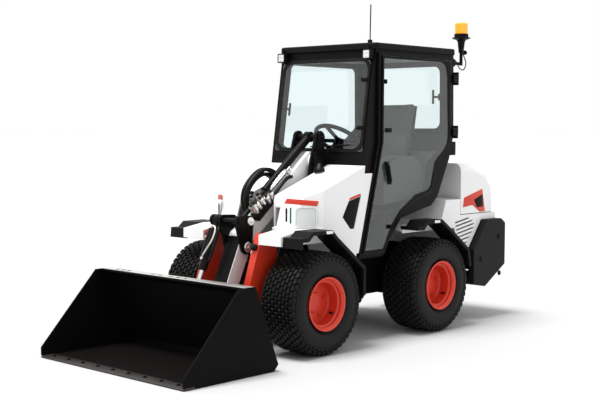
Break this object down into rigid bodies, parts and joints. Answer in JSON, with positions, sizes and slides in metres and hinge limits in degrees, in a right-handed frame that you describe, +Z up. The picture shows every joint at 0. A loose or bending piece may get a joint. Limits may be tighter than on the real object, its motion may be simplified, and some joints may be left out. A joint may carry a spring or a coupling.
{
  "type": "articulated loader",
  "caption": "Compact articulated wheel loader with a cab, a self-levelling lift boom in front, a bucket on a quick coupler, and an engine under a tilting hood behind.",
  "frame": {"origin": "on the ground under the middle of the machine's overall box, with the boom down and the frame straight", "axes": "+X forward towards the bucket, +Y to the machine's left, +Z up"},
  "size_m": [3.457, 1.336, 2.2641],
  "materials": {
    "white_paint": "gloss",
    "orange_paint": "gloss",
    "black_paint": "semi-gloss",
    "cast_black": "painted satin",
    "black_plastic": "satin",
    "tyre": "matte",
    "tinted_glass": "tinted",
    "lamp_lens": "clear",
    "red_lens": "clear",
    "amber_lens": "clear",
    "seat_cover": "matte",
    "rod_chrome": "polished",
    "pin_steel": "machined",
    "engine_iron": "as cast"
  },
  "bodies": {
    "rear_frame": {"rear_chassis": "black_paint", "rear_axle": "black_paint", "pivot_pin": "pin_steel", "rear_body": "white_paint", "rear_fenders": "black_plastic", "counterweight": "cast_black", "engine_block": "engine_iron"},
    "front_frame": {"front_chassis": "black_paint", "front_posts": "orange_paint", "front_axle": "black_paint", "boom_tower": "black_paint", "nose_panels": "white_paint", "headlights": "lamp_lens", "front_fenders": "black_plastic", "cab_frame": "black_paint", "cab_tub": "black_plastic", "cab_roof": "black_plastic", "cab_glass": "tinted_glass", "seat_frame": "black_plastic", "seat_cushion": "seat_cover", "seat_back": "seat_cover", "steering_column": "black_plastic", "steering_wheel": "black_plastic", "work_lights": "black_plastic", "rear_lamps": "red_lens", "beacon_mount": "black_plastic", "beacon_lens": "amber_lens", "antenna": "black_plastic"},
    "wheel_front_left": {"tyre_front_left": "tyre", "rim_front_left": "orange_paint"},
    "wheel_front_right": {"tyre_front_right": "tyre", "rim_front_right": "orange_paint"},
    "wheel_rear_left": {"tyre_rear_left": "tyre", "rim_rear_left": "orange_paint"},
    "wheel_rear_right": {"tyre_rear_right": "tyre", "rim_rear_right": "orange_paint"},
    "boom": {"boom": "white_paint"},
    "leveller": {"leveller": "black_paint"},
    "bell_crank": {"bell_crank": "black_paint"},
    "tilt_pin": {"tilt_pin": "pin_steel"},
    "bucket_pin": {"bucket_pin": "pin_steel"},
    "bucket": {"coupler": "black_paint", "bucket": "black_paint", "bucket_edge": "pin_steel"},
    "lift_barrel": {"lift_barrel": "black_paint"},
    "lift_rod": {"lift_rod": "rod_chrome"},
    "tilt_barrel": {"tilt_barrel": "black_paint"},
    "tilt_rod": {"tilt_rod": "rod_chrome"},
    "steer_barrel": {"steer_barrel": "black_paint"},
    "steer_rod": {"steer_rod": "rod_chrome"},
    "door": {"door_frame": "black_paint", "door_glass": "tinted_glass"},
    "hood": {"hood": "white_paint"}
  },
  "joints": [
    {"name": "articulation", "type": "hinge", "parent": "rear_frame", "child": "front_frame", "pos_m": [-0.1385, 0, 0.415], "axis": [0, 0, -1], "range_deg": [-40, 40]},
    {"name": "boom_lift", "type": "hinge", "parent": "front_frame", "child": "boom", "pos_m": [0.0215, 0, 1.205], "axis": [0, -1, 0], "range_deg": [0, 85]},
    {"name": "bucket_level", "type": "hinge", "parent": "boom", "child": "bucket_pin", "pos_m": [0.8615, 0, 0.247], "axis": [0, -1, 0], "range_deg": [-85, 0]},
    {"name": "bucket_tilt", "type": "hinge", "parent": "bucket_pin", "child": "bucket", "pos_m": [0.8615, 0, 0.247], "axis": [0, 1, 0], "range_deg": [-30, 45]},
    {"name": "door_swing", "type": "hinge", "parent": "front_frame", "child": "door", "pos_m": [-1.0735, 0.47, 1.6], "axis": [0, 0, 1], "range_deg": [0, 95]},
    {"name": "hood_tilt", "type": "hinge", "parent": "rear_frame", "child": "hood", "pos_m": [-1.6465, 0, 0.787], "axis": [0, -1, 0], "range_deg": [0, 60]},
    {"name": "leveller_turn", "type": "hinge", "parent": "front_frame", "child": "leveller", "pos_m": [-0.0015, 0, 1.37], "axis": [0, -1, 0], "range_deg": [0, 85]},
    {"name": "crank_turn", "type": "hinge", "parent": "boom", "child": "bell_crank", "pos_m": [0.6715, 0, 0.667], "axis": [0, -1, 0], "range_deg": [-85, 0]},
    {"name": "tilt_pin_turn", "type": "hinge", "parent": "bell_crank", "child": "tilt_pin", "pos_m": [0.7365, 0, 0.835], "axis": [0, -1, 0], "range_deg": [0, 85]},
    {"name": "tilt_ram_turn", "type": "hinge", "parent": "tilt_pin", "child": "tilt_barrel", "pos_m": [0.7365, -0.115, 0.835], "axis": [0, 1, 0], "range_deg": [-10, 7]},
    {"name": "tilt_ram_slide", "type": "slide", "parent": "tilt_barrel", "child": "tilt_rod", "axis": [0.4122, 0, -0.9111], "range_m": [-0.0747, 0.11]},
    {"name": "lift_ram_turn", "type": "hinge", "parent": "front_frame", "child": "lift_barrel", "pos_m": [0.3115, 0, 0.4], "axis": [0, -1, 0], "range_deg": [-17.15, 1]},
    {"name": "lift_ram_slide", "type": "slide", "parent": "lift_barrel", "child": "lift_rod", "axis": [-0.3467, 0, 0.938], "range_m": [-0.004, 0.1746]},
    {"name": "steer_ram_turn", "type": "hinge", "parent": "rear_frame", "child": "steer_barrel", "pos_m": [-0.5385, 0.12, 0.415], "axis": [0, 0, -1], "range_deg": [-5.4, 5.4]},
    {"name": "steer_ram_slide", "type": "slide", "parent": "steer_barrel", "child": "steer_rod", "axis": [0.9994, 0.0337, 0], "range_m": [-0.0948, 0.0948]},
    {"name": "wheel_front_left_spin", "type": "hinge", "parent": "front_frame", "child": "wheel_front_left", "pos_m": [0.4655, 0.45, 0.33], "axis": [0, 1, 0], "continuous": true},
    {"name": "wheel_front_right_spin", "type": "hinge", "parent": "front_frame", "child": "wheel_front_right", "pos_m": [0.4655, -0.45, 0.33], "axis": [0, 1, 0], "continuous": true},
    {"name": "wheel_rear_left_spin", "type": "hinge", "parent": "rear_frame", "child": "wheel_rear_left", "pos_m": [-0.7425, 0.45, 0.33], "axis": [0, 1, 0], "continuous": true},
    {"name": "wheel_rear_right_spin", "type": "hinge", "parent": "rear_frame", "child": "wheel_rear_right", "pos_m": [-0.7425, -0.45, 0.33], "axis": [0, 1, 0], "continuous": true}
  ],
  "couplings": [
    {"joint": "bucket_level", "follows": "boom_lift", "ratio": -1},
    {"joint": "leveller_turn", "follows": "boom_lift", "ratio": 1},
    {"joint": "crank_turn", "follows": "boom_lift", "ratio": -1},
    {"joint": "tilt_pin_turn", "follows": "boom_lift", "ratio": 1},
    {"joint": "lift_ram_turn", "follows": "boom_lift", "ratio": -0.19},
    {"joint": "lift_ram_slide", "follows": "boom_lift", "m_per_rad": 0.115},
    {"joint": "tilt_ram_turn", "follows": "bucket_tilt", "ratio": -0.2},
    {"joint": "tilt_ram_slide", "follows": "bucket_tilt", "m_per_rad": 0.135},
    {"joint": "steer_ram_turn", "follows": "articulation", "ratio": 0.11},
    {"joint": "steer_ram_slide", "follows": "articulation", "m_per_rad": 0.13}
  ]
}
